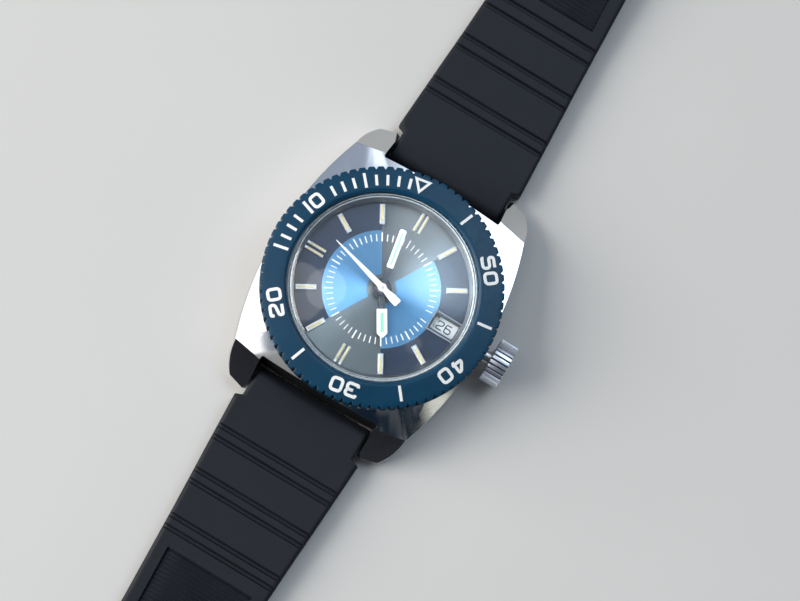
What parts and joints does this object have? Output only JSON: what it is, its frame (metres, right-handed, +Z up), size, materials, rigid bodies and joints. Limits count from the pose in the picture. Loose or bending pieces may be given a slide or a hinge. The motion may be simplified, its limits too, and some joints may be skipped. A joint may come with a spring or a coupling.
{
  "type": "wristwatch",
  "caption": "Mechanical diver's wristwatch with cushion-shaped steel case, turning countdown bezel, domed crystal, three hands, date window, ridged crown, full movement and rubber strap.",
  "frame": {"origin": "on the dial axis, in the outer flat of the case back", "axes": "+X to 3 o'clock and the crown, +Y to 12 o'clock, +Z up through the crystal"},
  "size_m": [0.0377, 0.2395, 0.0113],
  "materials": {
    "case_steel": "brushed top, polished facets",
    "polished_steel": "polished",
    "plain_steel": "turned",
    "spring_steel": "blued",
    "crystal_clear": "clear domed acrylic",
    "bezel_paint": "blue-teal lacquer",
    "dial_paint": "satin sunburst in blue, grey and charcoal",
    "hand_white": "white with pale green inserts",
    "date_white": "matt",
    "gilt_brass": "gilt",
    "nickel_plate": "nickel-plated, grained",
    "ruby": "polished synthetic ruby",
    "holder_plastic": "moulded",
    "gasket_rubber": "smooth",
    "strap_rubber": "matt, moulded ribs"
  },
  "bodies": {
    "case": {"case_middle": "case_steel", "case_back": "case_steel", "case_back_gasket": "gasket_rubber", "crystal": "crystal_clear", "crystal_tension_ring": "polished_steel", "crown_tube": "case_steel", "bezel_click_spring": "plain_steel", "dial": "dial_paint", "hour_markers": "polished_steel", "date_window_frame": "polished_steel", "movement_holder": "holder_plastic", "main_plate": "nickel_plate", "barrel_bridge": "nickel_plate", "train_bridge": "nickel_plate", "balance_cock": "nickel_plate", "pallet_bridge": "nickel_plate", "jewels": "ruby", "bridge_screws": "plain_steel", "hairspring": "spring_steel", "spring_bar_12": "plain_steel", "spring_bar_6": "plain_steel"},
    "bezel": {"bezel": "bezel_paint"},
    "winding_pinion": {"winding_pinion": "plain_steel"},
    "crown": {"crown": "case_steel", "crown_gasket": "gasket_rubber", "winding_stem": "plain_steel"},
    "sliding_pinion": {"sliding_pinion": "plain_steel"},
    "setting_lever": {"setting_lever": "plain_steel"},
    "crown_wheel": {"crown_wheel": "plain_steel"},
    "ratchet": {"ratchet_wheel": "plain_steel", "barrel_arbor": "plain_steel"},
    "click": {"click": "plain_steel"},
    "barrel": {"barrel": "gilt_brass", "mainspring": "spring_steel"},
    "centre": {"centre_wheel": "gilt_brass"},
    "third": {"third_wheel": "gilt_brass"},
    "seconds": {"fourth_wheel": "gilt_brass", "second_hand": "hand_white"},
    "escape": {"escape_wheel": "plain_steel"},
    "pallet": {"pallet_fork": "plain_steel"},
    "balance": {"balance_wheel": "gilt_brass"},
    "minutes": {"cannon_pinion": "plain_steel", "minute_hand": "hand_white"},
    "minute_wheel": {"minute_wheel": "gilt_brass"},
    "hours": {"hour_wheel": "gilt_brass", "hour_hand": "hand_white"},
    "date": {"date_ring": "date_white"},
    "strap_12": {"strap_12": "strap_rubber", "fixed_keeper": "strap_rubber", "buckle_bar": "plain_steel"},
    "strap_6": {"strap_6": "strap_rubber"},
    "buckle_frame": {"buckle_frame": "polished_steel"},
    "buckle_tongue": {"buckle_tongue": "polished_steel"},
    "sliding_keeper": {"sliding_keeper": "strap_rubber"}
  },
  "joints": [
    {"name": "bezel_turn", "type": "hinge", "parent": "case", "child": "bezel", "pos_m": [0, 0, 0.0077], "axis": [0, 0, 1], "continuous": true},
    {"name": "crown_turn", "type": "hinge", "parent": "case", "child": "winding_pinion", "pos_m": [0.009, 0, 0.0039], "axis": [1, 0, 0], "continuous": true},
    {"name": "crown_pull", "type": "slide", "parent": "winding_pinion", "child": "crown", "axis": [1, 0, 0], "range_m": [0, 0.001]},
    {"name": "sliding_pinion_shift", "type": "slide", "parent": "winding_pinion", "child": "sliding_pinion", "axis": [1, 0, 0], "range_m": [-0.0006, 0.0001]},
    {"name": "setting_lever_swing", "type": "hinge", "parent": "case", "child": "setting_lever", "pos_m": [0.0111, -0.0029, 0.0039], "axis": [0, 0, 1], "range_deg": [-26, 1]},
    {"name": "crown_wheel_turn", "type": "hinge", "parent": "case", "child": "crown_wheel", "pos_m": [0.0066, 0, 0.0022], "axis": [0, 0, 1], "continuous": true},
    {"name": "ratchet_turn", "type": "hinge", "parent": "case", "child": "ratchet", "pos_m": [0.00251, 0.00539, 0.0022], "axis": [0, 0, 1], "continuous": true},
    {"name": "click_lift", "type": "hinge", "parent": "case", "child": "click", "pos_m": [-0.00234, 0.00819, 0.0022], "axis": [0, 0, 1], "range_deg": [0, 12], "stiffness_Nm_per_rad": 0.0000001},
    {"name": "barrel_turn", "type": "hinge", "parent": "case", "child": "barrel", "pos_m": [0.00251, 0.00539, 0.0038], "axis": [0, 0, 1], "continuous": true},
    {"name": "centre_turn", "type": "hinge", "parent": "case", "child": "centre", "pos_m": [0, 0, 0.0037], "axis": [0, 0, 1], "continuous": true},
    {"name": "third_turn", "type": "hinge", "parent": "case", "child": "third", "pos_m": [0.00234, -0.00405, 0.0032], "axis": [0, 0, 1], "continuous": true},
    {"name": "seconds_turn", "type": "hinge", "parent": "case", "child": "seconds", "pos_m": [0, 0, 0.005], "axis": [0, 0, 1], "continuous": true},
    {"name": "escape_turn", "type": "hinge", "parent": "case", "child": "escape", "pos_m": [-0.00439, -0.00077, 0.0032], "axis": [0, 0, 1], "continuous": true},
    {"name": "pallet_swing", "type": "hinge", "parent": "case", "child": "pallet", "pos_m": [-0.0052, -0.00314, 0.0036], "axis": [0, 0, 1], "range_deg": [-5, 5]},
    {"name": "balance_swing", "type": "hinge", "parent": "case", "child": "balance", "pos_m": [-0.00624, -0.00616, 0.0032], "axis": [0, 0, 1], "range_deg": [-270, 270], "stiffness_Nm_per_rad": 0.0000003},
    {"name": "minute_turn", "type": "hinge", "parent": "case", "child": "minutes", "pos_m": [0, 0, 0.006], "axis": [0, 0, 1], "continuous": true},
    {"name": "minute_wheel_turn", "type": "hinge", "parent": "case", "child": "minute_wheel", "pos_m": [0.00305, -0.00142, 0.0054], "axis": [0, 0, 1], "continuous": true},
    {"name": "hour_turn", "type": "hinge", "parent": "case", "child": "hours", "pos_m": [0, 0, 0.006], "axis": [0, 0, 1], "continuous": true},
    {"name": "date_turn", "type": "hinge", "parent": "case", "child": "date", "pos_m": [0, 0, 0.0057], "axis": [0, 0, 1], "continuous": true},
    {"name": "strap_12_hinge", "type": "hinge", "parent": "case", "child": "strap_12", "pos_m": [0, 0.0189, 0.00175], "axis": [1, 0, 0], "range_deg": [-80, 70]},
    {"name": "strap_6_hinge", "type": "hinge", "parent": "case", "child": "strap_6", "pos_m": [0, -0.0189, 0.00175], "axis": [-1, 0, 0], "range_deg": [-80, 70]},
    {"name": "buckle_hinge", "type": "hinge", "parent": "strap_12", "child": "buckle_frame", "pos_m": [0, 0.094, 0.00223], "axis": [1, 0, 0], "range_deg": [-60, 60]},
    {"name": "tongue_hinge", "type": "hinge", "parent": "buckle_frame", "child": "buckle_tongue", "pos_m": [0, 0.094, 0.00223], "axis": [1, 0, 0], "range_deg": [0, 60]},
    {"name": "keeper_slide", "type": "slide", "parent": "strap_12", "child": "sliding_keeper", "axis": [0, 1, 0], "range_m": [-0.012, 0.006]}
  ],
  "couplings": [
    {"joint": "sliding_pinion_shift", "follows": "crown_pull", "ratio": -0.5},
    {"joint": "setting_lever_swing", "follows": "crown_pull", "rad_per_m": -395},
    {"joint": "crown_wheel_turn", "follows": "crown_turn", "ratio": 0.5},
    {"joint": "ratchet_turn", "follows": "crown_turn", "ratio": -0.28571},
    {"joint": "centre_turn", "follows": "seconds_turn", "ratio": 0.016667},
    {"joint": "third_turn", "follows": "seconds_turn", "ratio": -0.13333},
    {"joint": "barrel_turn", "follows": "seconds_turn", "ratio": -0.0027778},
    {"joint": "escape_turn", "follows": "seconds_turn", "ratio": -10},
    {"joint": "minute_wheel_turn", "follows": "minute_turn", "ratio": -0.33333},
    {"joint": "hour_turn", "follows": "minute_turn", "ratio": 0.083333}
  ]
}
